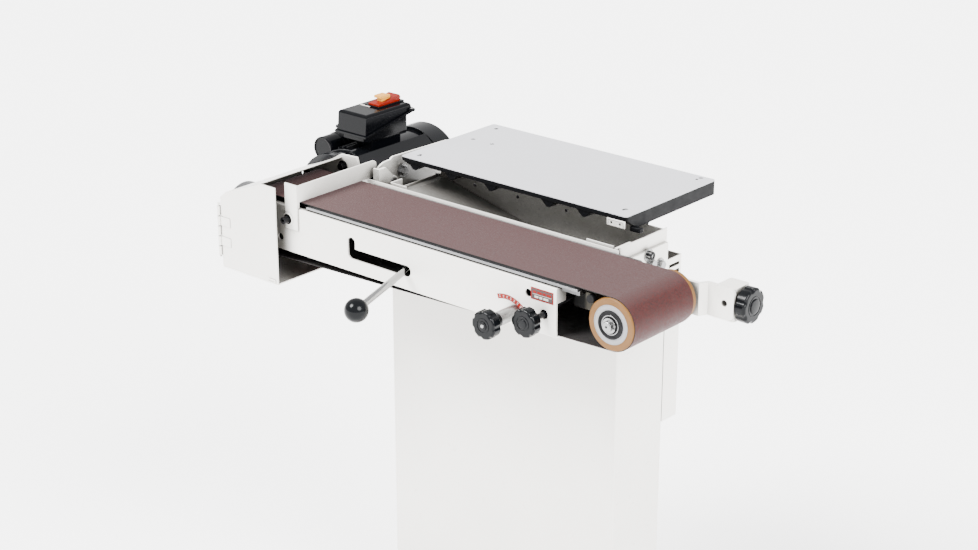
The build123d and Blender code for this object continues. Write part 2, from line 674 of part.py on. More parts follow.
with BuildPart() as switch_box:
    body = along_split(-5, -4, -4)[:2]
    switch_solid([(236, 86), (350, 86), body[1], body[0]], (-805, -744))
    block((-797, -753), (262, 342), (60, 88))
    fillet(switch_box.edges().filter_by(Axis.Z), 6)
    switch_solid(along_split(4, -4, 0), (LID_X[0] - 4, LID_X[1] + 4))
    body = along_split(-9, 1, 1)[:2]
    switch_solid([(240, 90), (346, 90), body[1], body[0]], (-801, -748), Mode.SUBTRACT)
    rod_y(*DRIVE, MOTOR_R + 0.01, (230, 380), Mode.SUBTRACT)
save(switch_box, "switch_box")

with BuildPart() as switch_lid:
    lower = along_split(0, 0, 0)[:2]
    switch_solid([lower[0], lower[1], (LID_Y[1] - 3, LID_TOP), (LID_Y[0] + 3, LID_TOP)], LID_X)
    fillet(switch_lid.edges().group_by(Axis.Z)[-1], 6)
    lower = along_split(-3, -1, -1)[:2]
    profile = [lower[0], lower[1], (LID_Y[1] - 6, LID_TOP - 3), (LID_Y[0] + 6, LID_TOP - 3)]
    switch_solid(profile, (LID_X[0] + 3, LID_X[1] - 3), Mode.SUBTRACT)
    # raised bezel round the toggle
    x, y = TOGGLE
    block((x - 18, x + 18), (y - 34, y + 34), (LID_TOP - 1, LID_TOP + 2.5))
    block((x - 15, x + 15), (y - 31, y + 31), (LID_TOP - 4, LID_TOP + 5), Mode.SUBTRACT)
save(switch_lid, "switch_lid")

with BuildPart() as switch_toggle:
    with BuildSketch(facing_right(TOGGLE[0] - 13)):
        with BuildLine():
            Polyline(
                (TOGGLE[1] - 29, 136), (TOGGLE[1] - 29, 143), (TOGGLE[1] - 8, 146), (TOGGLE[1] + 26, 152),
                (TOGGLE[1] + 30, 147), (TOGGLE[1] + 26, 138), close=True,
            )
        make_face()
    extrude(amount=26)
    fillet(switch_toggle.edges().filter_by(Axis.X), 1.5)
    block((TOGGLE[0] - 7, TOGGLE[0] + 7), (TOGGLE[1] - 14, TOGGLE[1] + 10), (141, 160), Mode.SUBTRACT)
save(switch_toggle, "switch_toggle")

with BuildPart() as safety_key:
    block((TOGGLE[0] - 6.7, TOGGLE[0] + 6.7), (TOGGLE[1] - 13.7, TOGGLE[1] + 9.7), (141.2, 154))
    fillet(safety_key.edges().filter_by(Axis.Z), 2)
    block((TOGGLE[0] - 9, TOGGLE[0] + 9), (TOGGLE[1] - 18, TOGGLE[1] + 4), (151.5, 156))
save(safety_key, "safety_key")

# ---- dust hood -----------------------------------------------------------------------------------
with BuildPart() as hood_shell:
    with BuildSketch(facing_front(HOOD_Y[1])):
        with BuildLine():
            Polyline(
                *HOOD_OUTLINE, (-748.3, 70.9), (-838.1, 36.4), (-852, 24.3), (-852, -105.6),
                (-712, -105.6), (-712, -107.6), close=True,
            )
        make_face()
    extrude(amount=HOOD_Y[1] - HOOD_Y[0])
    rod_x(*PORT, PORT_R - 2, (-860, -840), Mode.SUBTRACT)
save(hood_shell, "hood_shell")

with BuildPart() as dust_port:
    rod_x(*PORT, PORT_R, (-896, -854))
    rod_x(*PORT, PORT_R - 2, (-900, -850), Mode.SUBTRACT)
save(dust_port, "dust_port")

HINGE = (-857.5, -26.5)
with BuildPart() as hood_hinge:
    rod_z(*HINGE, 1.6, (-86, 12))
    for i in range(3):
        rod_z(*HINGE, 3.2, (-85 + i * 38, -68 + i * 38))
        block((HINGE[0] - 1, -854), (HINGE[1] + 2.4, -2), (-85 + i * 38, -68 + i * 38))
    block((-855.2, -854), (-20, -2), (-85, 8))
save(hood_hinge, "hood_hinge")

with BuildPart() as hood_door:
    with BuildSketch(facing_front(-22.6)):
        with BuildLine():
            Polyline(*HOOD_OUTLINE, (-712, 72.6), (-712, -107.6), close=True)
        make_face()
    extrude(amount=DOOR_T)
    for i in range(2):
        span = (-66 + i * 38, -49 + i * 38)
        rod_z(*HINGE, 3.2, span)
        block((HINGE[0], -830), (-26.2, -25), span)
        rod_z(*HINGE, 1.6 + FIT, (span[0] - 1, span[1] + 1), Mode.SUBTRACT)
save(hood_door, "hood_door")

# ---- knobs and labels on the front panel -------------------------------------------------------
with BuildPart() as tracking_sleeve:
    rod_y(*TRACK_KNOB, 12, (-44, 0))
    rod_y(*TRACK_KNOB, 6.5, (-45, 1), Mode.SUBTRACT)
save(tracking_sleeve, "tracking_sleeve")

knob = lobed_knob(at(TRACK_KNOB[0], -62, TRACK_KNOB[1]), (0, -1, 0), (1, 0, 0), 24, 17, 6, 80)
save(knob, "tracking_knob")

knob = lobed_knob(at(LOCK_KNOB[0], -36, LOCK_KNOB[1]), (0, -1, 0), (1, 0, 0), 24, 17, 5, 62)
save(knob, "lock_knob")

ARC_LABEL_C = (-206.0, -58.0)
with BuildPart() as labels:
    with BuildSketch(facing_front(0)):
        with Locations((-132, 16)):
            Rectangle(46, 20)
    extrude(amount=0.4)
    with BuildSketch(facing_front(0)):
        with BuildLine():
            inner = CenterArc(ARC_LABEL_C, 49, 49, 61)
            outer = CenterArc(ARC_LABEL_C, 57, 49, 61)
            Line(inner @ 0, outer @ 0)
            Line(inner @ 1, outer @ 1)
        make_face()
    extrude(amount=0.4)
save(labels, "labels")
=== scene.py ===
"""Finishes and fine detail of a six-inch edge sander, built around its packed mechanical model.

Metres, +Z up. +X runs along the belt from the motor to the idler roller, +Y from the head to the table.
"""

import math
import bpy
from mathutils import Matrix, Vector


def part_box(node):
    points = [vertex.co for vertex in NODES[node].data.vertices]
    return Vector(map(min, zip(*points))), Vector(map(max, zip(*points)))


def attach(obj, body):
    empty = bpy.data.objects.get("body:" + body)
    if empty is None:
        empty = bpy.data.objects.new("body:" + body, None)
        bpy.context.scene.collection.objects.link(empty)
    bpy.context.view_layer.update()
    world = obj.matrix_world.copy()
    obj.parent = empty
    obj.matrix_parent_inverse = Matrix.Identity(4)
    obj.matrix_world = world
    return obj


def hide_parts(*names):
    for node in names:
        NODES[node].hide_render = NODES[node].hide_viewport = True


bl_info = {
    "name": "Edge sander finishes",
    "version": (1, 0, 0),
    "blender": (4, 5, 0),
    "location": "3D View > Sidebar > Sander",
    "description": "Paint, metal, grit and fine detail for an edge sander on its stand",
    "category": "Object",
}

import bpy
from mathutils import Matrix, Vector

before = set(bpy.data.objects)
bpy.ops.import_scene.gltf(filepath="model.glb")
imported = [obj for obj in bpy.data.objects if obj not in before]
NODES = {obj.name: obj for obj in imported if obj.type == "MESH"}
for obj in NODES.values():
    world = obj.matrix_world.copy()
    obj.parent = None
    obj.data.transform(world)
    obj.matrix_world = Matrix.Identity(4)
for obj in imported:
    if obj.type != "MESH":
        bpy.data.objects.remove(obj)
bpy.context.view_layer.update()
MM = 0.001
IDLER = Vector((0.374, 0.0, 0.820))
PANEL_Y = -0.246            # the front panel's outer face
DRIVE_OUTER = 0.0575        # the belt's outside on the drive roller
BELT_THICK = 0.0012
FRAME_TOP = 0.858           # painted shade on the frame's back stops at this height; the paint shows above it
CARRIER_SHADE_LINE = 0.299        # painted shade on the carrier's casting stops at this line
SOFT_EDGE = 0.0008
CLOUDING = 0.04


def at(x, y, z):
    """A point given in millimetres from the idler axis and the front panel's outer face."""
    return Vector((IDLER.x + x * MM, PANEL_Y + y * MM, IDLER.z + z * MM))


# ---- materials -------------------------------------------------------------------------------
class Finish:
    """One material and the nodes it is built from, all reading Object coordinates."""

    def __init__(self, name):
        self.material = bpy.data.materials.new(name)
        self.material.use_nodes = True
        self.tree = self.material.node_tree
        self.shader = self.tree.nodes["Principled BSDF"]
        self.coords = self.tree.nodes.new("ShaderNodeTexCoord").outputs["Object"]

    def node(self, kind, **values):
        """A node with its sockets set or linked by name."""
        made = self.tree.nodes.new(kind)
        for key, value in values.items():
            self.feed(made.inputs[key.replace("_", " ")], value)
        return made

    def feed(self, socket, value):
        """Sets a socket, or links another one to it."""
        if isinstance(value, bpy.types.NodeSocket):
            self.tree.links.new(value, socket)
        else:
            socket.default_value = value

    def mapped(self, scale=(1, 1, 1), turn=(0, 0, 0), shift=(0, 0, 0)):
        """Object coordinates, stretched and turned."""
        made = self.tree.nodes.new("ShaderNodeMapping")
        self.feed(made.inputs["Vector"], self.coords)
        made.inputs["Scale"].default_value = scale
        made.inputs["Rotation"].default_value = turn
        made.inputs["Location"].default_value = shift
        return made.outputs["Vector"]

    def noise(self, scale, detail=3.0, rough=0.5, vector=None):
        """Fractal noise from 0 to 1; scale is cycles to the metre."""
        made = self.node("ShaderNodeTexNoise", Scale=scale, Detail=detail, Roughness=rough)
        self.feed(made.inputs["Vector"], vector or self.coords)
        return made.outputs["Fac"]

    def spread(self, value, low, high, to_low=0.0, to_high=1.0):
        """Maps one range of numbers to another, clamped."""
        made = self.tree.nodes.new("ShaderNodeMapRange")
        for key, number in (("From Min", low), ("From Max", high), ("To Min", to_low), ("To Max", to_high)):
            made.inputs[key].default_value = number
        self.feed(made.inputs["Value"], value)
        return made.outputs["Result"]

    def maths(self, operation, a, b=0.0):
        """One sum on numbers."""
        made = self.tree.nodes.new("ShaderNodeMath")
        made.operation = operation
        self.feed(made.inputs[0], a)
        self.feed(made.inputs[1], b)
        return made.outputs[0]

    def mix(self, share, a, b):
        """Colour a where share is 0 and b where it is 1."""
        made = self.tree.nodes.new("ShaderNodeMix")
        made.data_type = "RGBA"
        self.feed(made.inputs[0], share)
        self.feed(made.inputs[6], a)
        self.feed(made.inputs[7], b)
        return made.outputs[2]

    def edges(self, radius):
        """A softened normal, and a mask that is 1 along sharp edges."""
        soft = self.tree.nodes.new("ShaderNodeBevel")
        soft.samples = 6
        soft.inputs["Radius"].default_value = radius
        flat = self.tree.nodes.new("ShaderNodeNewGeometry").outputs["Normal"]
        dot = self.tree.nodes.new("ShaderNodeVectorMath")
        dot.operation = "DOT_PRODUCT"
        self.feed(dot.inputs[0], soft.outputs["Normal"])
        self.feed(dot.inputs[1], flat)
        return soft.outputs["Normal"], self.spread(dot.outputs["Value"], 0.985, 0.86)

    def openness(self, distance):
        """1 on an open face, falling towards 0 in a deep recess."""
        made = self.tree.nodes.new("ShaderNodeAmbientOcclusion")
        made.samples = 8
        made.inputs["Distance"].default_value = distance
        return made.outputs["AO"]

    def bump(self, height, distance, strength=1.0, normal=None):
        """Sends a height in metres to the shader's normal."""
        made = self.node("ShaderNodeBump", Height=height, Distance=distance, Strength=strength)
        if normal is not None:
            self.feed(made.inputs["Normal"], normal)
        self.feed(self.shader.inputs["Normal"], made.outputs["Normal"])

    def surface(self, **values):
        """Sets or links the shader's own sockets."""
        for key, value in values.items():
            self.feed(self.shader.inputs[key.replace("_", " ")], value)
        return self.material


def rgb(colour, factor=1.0):
    """A colour with its alpha, brightened by factor."""
    return (*(min(1.0, c * factor) for c in colour[:3]), 1.0)


def paint(name, colour, roughness, edge, peel=0.00003, shine=0.5, recess_shade=0.0):
    """Sprayed paint: clouding, orange peel, soft edges with small rubs, and painted shade darkening the
    recesses.
    """
    f = Finish(name)
    cloud = f.spread(f.noise(5, 4), 0.3, 0.7)
    colour_now = f.mix(cloud, rgb(colour, 1 - CLOUDING), rgb(colour, 1 + CLOUDING / 3))
    normal, worn = f.edges(0.0009)
    rub = f.maths("MULTIPLY", worn, f.spread(f.noise(160, 5, 0.7), 0.52, 0.62))
    colour_now = f.mix(rub, colour_now, rgb(edge))
    if recess_shade:
        # painted shade: ambient occlusion mixes the colour towards near black in recesses, under overhangs
        # and between parts
        recess_shade_mask = f.spread(f.openness(0.14), 0.36, 0.72, recess_shade, 0.0)
        colour_now = f.mix(recess_shade_mask, colour_now, rgb((0.03, 0.026, 0.021)))
    f.bump(f.noise(420, 2), peel, 0.6, normal)
    rough = f.spread(f.noise(60, 4, 0.65), 0.3, 0.75, roughness * 0.8, roughness * 1.25)
    return f.surface(Base_Color=colour_now, Roughness=rough, Specular_IOR_Level=shine)


def metal(name, colour, roughness, stretch=(1, 1, 1), line=0.000012, tarnish=0.25):
    """Machined metal: fine tool lines along one way, and dull patches."""
    f = Finish(name)
    lines = f.noise(900, 4, 0.6, f.mapped(scale=stretch))
    patch = f.spread(f.noise(30, 5, 0.65), 0.35, 0.75)
    shade = f.mix(f.maths("MULTIPLY", patch, tarnish), rgb(colour), rgb(colour, 0.45))
    normal, worn = f.edges(0.0006)
    shade = f.mix(f.maths("MULTIPLY", worn, 0.5), shade, rgb(colour, 1.35))
    f.bump(lines, line, 0.7, normal)
    rough = f.spread(lines, 0.25, 0.8, roughness * 0.75, roughness * 1.4)
    return f.surface(Base_Color=shade, Roughness=rough, Metallic=1.0)


def moulding(name, colour, roughness, grain, scuff=0.35, shine=0.5):
    """Moulded plastic or rubber: fine skin, light scuffs and softened edges."""
    f = Finish(name)
    scuffs = f.noise(70, 6, 0.75, f.mapped(scale=(1, 1, 3.5), turn=(0.4, 0.2, 0.9)))
    lift = f.spread(scuffs, 0.6, 0.76, 0.0, scuff)
    normal, worn = f.edges(0.0007)
    shade = f.mix(lift, rgb(colour), rgb(tuple(c * 1.1 + 0.005 for c in colour)))
    shade = f.mix(f.maths("MULTIPLY", worn, 0.2), shade, rgb(tuple(c * 1.2 + 0.01 for c in colour)))
    f.bump(f.noise(700, 3), grain, 0.5, normal)
    rough = f.spread(scuffs, 0.35, 0.75, roughness * 0.8, min(1.0, roughness * 1.5))
    return f.surface(Base_Color=shade, Roughness=rough, Specular_IOR_Level=shine)


def grit(name, colour, sheen):
    """Coated abrasive: packed grains of several tones standing on their cloth, with loaded streaks and a
    painted sheen that greys the upward faces.
    """
    f = Finish(name)
    grains = f.tree.nodes.new("ShaderNodeTexVoronoi")
    f.feed(grains.inputs["Vector"], f.coords)
    grains.inputs["Scale"].default_value = 620
    tone = f.spread(f.node("ShaderNodeSeparateColor", Color=grains.outputs["Color"]).outputs[0], 0, 1)
    clump = f.spread(f.noise(210, 3, 0.7), 0.3, 0.7)
    shade = f.mix(tone, rgb(colour, 0.4), rgb(colour, 1.7))
    shade = f.mix(f.maths("MULTIPLY", clump, 0.5), shade, rgb(tuple(c * 0.5 + 0.012 for c in colour)))
    streak = f.noise(9, 5, 0.6, f.mapped(scale=(0.35, 6, 1)))
    shade = f.mix(f.spread(streak, 0.35, 0.7, 0.0, 0.22), shade, rgb(tuple(c + 0.012 for c in colour)))
    # painted sheen: faces turned up are mixed towards a paler grey
    facing = f.tree.nodes.new("ShaderNodeTexCoord").outputs["Normal"]
    painted_sheen_on_top = f.spread(f.node("ShaderNodeSeparateXYZ", Vector=facing).outputs["Z"], 0.7, 0.99, 0.0, 0.75)
    shade = f.mix(painted_sheen_on_top, shade, rgb(tuple(c * 0.8 + 0.024 for c in colour)))
    height = f.spread(grains.outputs["Distance"], 0.0, 0.7, 1.0, 0.0)
    f.bump(height, 0.0003, 0.8)
    rough = f.spread(tone, 0, 1, 0.42, 0.7)
    return f.surface(
        Base_Color=shade, Roughness=rough, Sheen_Weight=sheen, Sheen_Roughness=0.4,
        Sheen_Tint=(1.0, 0.9, 0.93, 1.0), Specular_IOR_Level=0.12,
    )


def weave(name, colour, scale):
    """Backing cloth: two crossed rows of threads."""
    f = Finish(name)
    rows = []
    for direction in ("X", "Y"):
        thread = f.tree.nodes.new("ShaderNodeTexWave")
        thread.bands_direction = direction
        f.feed(thread.inputs["Vector"], f.coords)
        thread.inputs["Scale"].default_value = scale
        thread.inputs["Distortion"].default_value = 0.6
        rows.append(thread.outputs["Fac"])
    cloth = f.maths("MULTIPLY", rows[0], rows[1])
    shade = f.mix(cloth, rgb(colour, 0.6), rgb(colour, 1.4))
    f.bump(cloth, 0.0001, 0.6)
    return f.surface(Base_Color=shade, Roughness=f.spread(f.noise(80, 3), 0.3, 0.7, 0.7, 0.95))


def make_finishes(colours):
    """Every finish by name."""
    white = tuple(colours.paint)
    return {
        "white_paint": paint("gloss_white_paint", white, 0.32, (0.5, 0.49, 0.45), shine=0.4, recess_shade=0.9),
        # painted shade: the chute's white paint is darkened to 0.3 to stand for the shade inside it
        "shaded_white_inside": paint(
            "chute_painted_shade", tuple(c * 0.3 for c in white), 0.5, (0.2, 0.2, 0.18), recess_shade=0.7,
        ),
        "frame_paint_shaded_below": paint_shaded_below("frame_back_paint_shaded_below", white, FRAME_TOP),
        # painted shade: near-black paint on the cross tubes, lever mount and spring anchor stands for the
        # shade inside the frame
        "shadow_paint": paint(
            "frame_inside_painted_shadow", (0.006, 0.006, 0.006), 0.6, (0.03, 0.03, 0.03), shine=0.15,
        ),
        "black_paint": paint(
            "gloss_black_paint", (0.0025, 0.0028, 0.0036), 0.14, (0.03, 0.03, 0.03), 0.00001, shine=0.2,
        ),
        "table_grey": paint(
            "table_face_coat", tuple(colours.table), 0.36, (0.3, 0.3, 0.31), 0.00001, shine=0.3,
        ),
        "table_black": paint(
            "table_casting_paint", (0.0018, 0.002, 0.0026), 0.45, (0.03, 0.03, 0.033), 0.00005, shine=0.08,
        ),
        "bare_steel": metal("turned_steel", (0.27, 0.27, 0.27), 0.28),
        "dark_steel": metal("blackened_steel", (0.012, 0.012, 0.013), 0.35, tarnish=0.4),
        "platen_steel": metal("ground_platen_steel", (0.22, 0.22, 0.225), 0.3, (0.04, 1, 1)),
        "lever_chrome": metal("lever_chrome", (0.3, 0.3, 0.3), 0.12, (1, 1, 0.2), 0.000004, 0.12),
        "cast_iron": casting("raw_casting", (0.06, 0.055, 0.044), CARRIER_SHADE_LINE),
        "abrasive": grit("belt_grit", tuple(colours.grit), colours.grit_sheen),
        "cloth": weave("belt_backing_cloth", (0.006, 0.004, 0.004), 500),
        "graphite": weave("graphite_cloth", (0.005, 0.005, 0.006), 400),
        "roller_tan": roller_sleeve("roller_sleeve", tuple(colours.roller)),
        "roller_white": moulding("roller_core", (0.22, 0.218, 0.225), 0.35, 0.00003, scuff=0.2),
        "black_rubber": moulding("black_rubber", (0.004, 0.004, 0.0045), 0.55, 0.00004, 0.5, 0.15),
        "black_plastic": moulding("black_phenolic", (0.002, 0.0024, 0.003), 0.15, 0.000004, 0.4, 0.13),
        "switch_black": moulding("switch_moulding", (0.0012, 0.0014, 0.002), 0.15, 0.000006, 0.15, 0.11),
        "red_plastic": moulding("red_moulding", (0.16, 0.006, 0.0015), 0.3, 0.00001, shine=0.12),
        "yellow_plastic": moulding("yellow_moulding", (0.6, 0.27, 0.03), 0.3, 0.00001, shine=0.2),
        "copper_winding": metal("lacquered_winding", (0.2, 0.09, 0.04), 0.4),
        "label_red": moulding("label_red", (0.2, 0.008, 0.006), 0.4, 0.00001, shine=0.15),
        "label_white": moulding("label_white", (0.5, 0.48, 0.45), 0.42, 0.00001, scuff=0.15, shine=0.2),
        "label_grey": moulding("label_grey", (0.06, 0.045, 0.045), 0.42, 0.00001, scuff=0.15, shine=0.15),
    }


def casting(name, colour, line):
    """Rough casting, its own colour past a line along the machine and near-black painted shade behind it."""
    f = Finish(name)
    along = f.node("ShaderNodeSeparateXYZ", Vector=f.coords).outputs["X"]
    unshaded = f.spread(along, line - 0.004, line + 0.004)
    grain = f.noise(380, 5, 0.7)
    shade = f.mix(f.spread(grain, 0.3, 0.7), rgb(colour, 0.8), rgb(colour, 1.15))
    # painted shade: behind the line the colour is near black, for the part of the carrier in shadow
    shade = f.mix(unshaded, rgb((0.004, 0.004, 0.0038)), shade)
    normal, worn = f.edges(SOFT_EDGE)
    shade = f.mix(f.maths("MULTIPLY", worn, 0.4), shade, rgb(colour, 1.6))
    f.bump(grain, 0.00025, 0.7, normal)
    return f.surface(Base_Color=shade, Roughness=f.spread(grain, 0.3, 0.7, 0.5, 0.7), Specular_IOR_Level=0.15)


def paint_shaded_below(name, colour, line):
    """Paint above a height, and near-black painted shade below it, standing for the shade inside the frame.
    """
    f = Finish(name)
    height = f.node("ShaderNodeSeparateXYZ", Vector=f.coords).outputs["Z"]
    above = f.spread(height, line - 0.002, line + 0.001)
    # painted shade: near black with a faint noise below the line
    shade = f.mix(f.noise(40, 4), rgb((0.004, 0.004, 0.004)), rgb((0.008, 0.0075, 0.007)))
    shade = f.mix(above, shade, rgb(colour, 0.8))
    normal, worn = f.edges(SOFT_EDGE)
    f.bump(f.noise(420, 2), 0.00003, 0.6, normal)
    return f.surface(Base_Color=shade, Roughness=f.spread(worn, 0, 1, 0.45, 0.3), Specular_IOR_Level=0.2)


def roller_sleeve(name, colour):
    """Turned amber sleeve: faint rings about the roller's axis and a mottled skin."""
    f = Finish(name)
    rings = f.tree.nodes.new("ShaderNodeTexWave")
    rings.wave_type = "RINGS"
    rings.rings_direction = "Y"
    f.feed(rings.inputs["Vector"], f.mapped(shift=(-IDLER.x, 0, -IDLER.z)))
    for key, value in (("Scale", 260), ("Distortion", 2.5), ("Detail", 3), ("Detail Scale", 2)):
        rings.inputs[key].default_value = value
    mottle = f.noise(45, 5, 0.6)
    shade = f.mix(f.spread(rings.outputs["Fac"], 0, 1, 0.1, 0.5), rgb(colour, 1.12), rgb(colour, 0.78))
    shade = f.mix(f.spread(mottle, 0.4, 0.75, 0, 0.4), shade, rgb(colour, 0.62))
    normal, worn = f.edges(SOFT_EDGE)
    shade = f.mix(f.maths("MULTIPLY", worn, 0.5), shade, rgb(colour, 1.3))
    f.bump(rings.outputs["Fac"], 0.00004, 0.5, normal)
    rough = f.spread(mottle, 0.3, 0.7, 0.34, 0.55)
    return f.surface(Base_Color=shade, Roughness=rough, Specular_IOR_Level=0.25)


def dress(obj, material):
    """The piece shows this material only."""
    obj.data.materials.clear()
    obj.data.materials.append(material)


# ---- modelling -------------------------------------------------------------------------------
def clear_selection():
    """Leaves object mode with nothing selected."""
    if bpy.context.object and bpy.context.object.mode != "OBJECT":
        bpy.ops.object.mode_set(mode="OBJECT")
    bpy.ops.object.select_all(action="DESELECT")


def box_piece(name, low, high, edge, segments=2):
    """A block between two corners, its edges bevelled."""
    clear_selection()
    low, high = Vector(low), Vector(high)
    bpy.ops.mesh.primitive_cube_add(size=1, location=(low + high) / 2, scale=high - low)
    obj = bpy.context.object
    obj.name = name
    bpy.ops.object.transform_apply(location=True, rotation=True, scale=True)
    bpy.ops.object.mode_set(mode="EDIT")
    bpy.ops.mesh.select_all(action="SELECT")
    bpy.ops.mesh.bevel(offset=edge, segments=segments, affect="EDGES")
    bpy.ops.object.mode_set(mode="OBJECT")
    return obj


TURNS = {"x": (0, math.pi / 2, 0), "y": (-math.pi / 2, 0, 0), "z": (0, 0, 0)}


def round_piece(name, centre, axis, radius, length, edge, sides=48, segments=3):
    """A turned piece along an axis, its rims bevelled."""
    clear_selection()
    bpy.ops.mesh.primitive_cylinder_add(
        vertices=sides, radius=radius, depth=length, location=centre, rotation=TURNS[axis],
    )
    obj = bpy.context.object
    obj.name = name
    bpy.ops.object.transform_apply(location=True, rotation=True, scale=True)
    bevel_caps(obj, edge, segments)
    return obj


def edit(obj, mode="FACE"):
    """Opens a piece for editing with nothing selected."""
    clear_selection()
    bpy.context.view_layer.objects.active = obj
    obj.select_set(True)
    bpy.ops.object.mode_set(mode="EDIT")
    bpy.ops.mesh.select_mode(type=mode)
    bpy.ops.mesh.select_all(action="DESELECT")
    bpy.ops.object.mode_set(mode="OBJECT")


def select_faces(obj, test):
    """Selects the faces whose centre and normal pass the test, ready for an edit."""
    edit(obj)
    for face in obj.data.polygons:
        face.select = bool(test(face.center, face.normal))
    bpy.ops.object.mode_set(mode="EDIT")


def bevel_caps(obj, width, segments):
    """Rounds the rims of a turned piece's two flat ends."""
    big = max(len(p.vertices) for p in obj.data.polygons)
    edit(obj)
    for face in obj.data.polygons:
        face.select = len(face.vertices) == big
    bpy.ops.object.mode_set(mode="EDIT")
    bpy.ops.mesh.region_to_loop()
    bpy.ops.mesh.bevel(offset=width, segments=segments, affect="EDGES")
    bpy.ops.object.mode_set(mode="OBJECT")


def sink_face(obj, normal, inset, depth):
    """Insets the faces that look one way and pushes them in."""
    way = Vector(normal)
    select_faces(obj, lambda c, n: n.dot(way) > 0.99)
    bpy.ops.mesh.inset(thickness=inset, depth=0)
    bpy.ops.mesh.inset(thickness=abs(depth) * 0.15, depth=-depth)
    bpy.ops.object.mode_set(mode="OBJECT")


def join(name, pieces):
    """Several pieces made one."""
    clear_selection()
    for piece in pieces:
        piece.select_set(True)
    bpy.context.view_layer.objects.active = pieces[0]
    if len(pieces) > 1:
        bpy.ops.object.join()
    pieces[0].name = name
    return pieces[0]


def copy_piece(obj, offset):
    """A copy with its own mesh, moved by offset."""
    twin = obj.copy()
    twin.data = obj.data.copy()
    bpy.context.scene.collection.objects.link(twin)
    twin.data.transform(Matrix.Translation(offset))
    return twin


def ring_piece(name, centre, axis, inner, outer, length, edge=0.0004):
    """A flat ring: an open tube given a wall inwards, its edges bevelled."""
    clear_selection()
    bpy.ops.mesh.primitive_cylinder_add(
        vertices=64, radius=outer, depth=length, end_fill_type="NOTHING", location=centre,
        rotation=TURNS[axis],
    )
    obj = bpy.context.object
    obj.name = name
    bpy.ops.object.transform_apply(location=True, rotation=True, scale=True)
    apply_modifier(obj, "SOLIDIFY", thickness=outer - inner, offset=-1)
    apply_modifier(obj, "BEVEL", width=edge, segments=2, angle_limit=math.radians(50))
    return obj


def apply_modifier(obj, kind, **settings):
    """Adds a modifier and applies it."""
    clear_selection()
    bpy.context.view_layer.objects.active = obj
    obj.select_set(True)
    added = obj.modifiers.new(kind.lower(), kind)
    for key, value in settings.items():
        setattr(added, key, value)
    bpy.ops.object.modifier_apply(modifier=added.name)


def turn_piece(obj, angle, axis, centre):
    """Turns a finished mesh about a point, right hand round the axis."""
    move = Matrix.Translation(centre)
    obj.data.transform(move @ Matrix.Rotation(angle, 4, axis.upper()) @ move.inverted())


def repeat(piece, places):
    """The piece and a copy for each further place, made one; it was modelled at the first."""
    first = Vector(places[0])
    copies = [copy_piece(piece, Vector(place) - first) for place in places[1:]]
    return join(piece.name, [piece, *copies])


def finish_piece(obj, body, material, angle=35):
    """Sets a piece's shading, material, slot and the body that carries it."""
    clear_selection()
    obj.select_set(True)
    bpy.context.view_layer.objects.active = obj
    bpy.ops.object.transform_apply(location=True, rotation=True, scale=True)
    bpy.ops.object.mode_set(mode="EDIT")
    bpy.ops.mesh.select_all(action="SELECT")
    bpy.ops.mesh.normals_make_consistent(inside=False)
    bpy.ops.object.mode_set(mode="OBJECT")
    bpy.ops.object.shade_smooth_by_angle(angle=math.radians(angle))
    dress(obj, FINISHES[material])
    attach(obj, body)
    return obj


FINISHES = {}


# ---- settings --------------------------------------------------------------------------------
class SanderColours(bpy.types.PropertyGroup):
    """Colours that a user would change."""

    paint: bpy.props.FloatVectorProperty(
        name="Paint", description="Sprayed sheet metal", subtype="COLOR", size=3, default=(0.80, 0.78, 0.735),
    )
    table: bpy.props.FloatVectorProperty(
        name="Table", description="Coating on the table's face", subtype="COLOR", size=3,
        default=(0.5, 0.5, 0.525),
    )
    grit: bpy.props.FloatVectorProperty(
        name="Grit", description="Abrasive grain", subtype="COLOR", size=3, default=(0.036, 0.0068, 0.006),
    )
    grit_sheen: bpy.props.FloatProperty(
        name="Grit sheen", description="How pale the grain looks at a low angle", default=0.08, min=0, max=1,
        subtype="FACTOR",
    )
    roller: bpy.props.FloatVectorProperty(
        name="Roller sleeve", description="Idler's moulded sleeve", subtype="COLOR", size=3,
        default=(0.13, 0.058, 0.012),
    )


class SanderSizes(bpy.types.PropertyGroup):
    """Sizes of the added detail."""

    cap_radius: bpy.props.FloatProperty(
        name="Knob cap", description="Radius of the disc in each hand knob", default=0.0075, unit="LENGTH",
    )
    screw_radius: bpy.props.FloatProperty(
        name="Screw head", description="Radius of the small pan heads", default=0.004, unit="LENGTH",
    )


class PieceOperator:
    """Shared by every operator that makes pieces."""

    bl_options = {"REGISTER", "UNDO"}

    def execute(self, context):
        self.build(context.scene.sander_colours, context.scene.sander_sizes)
        clear_selection()
        return {"FINISHED"}


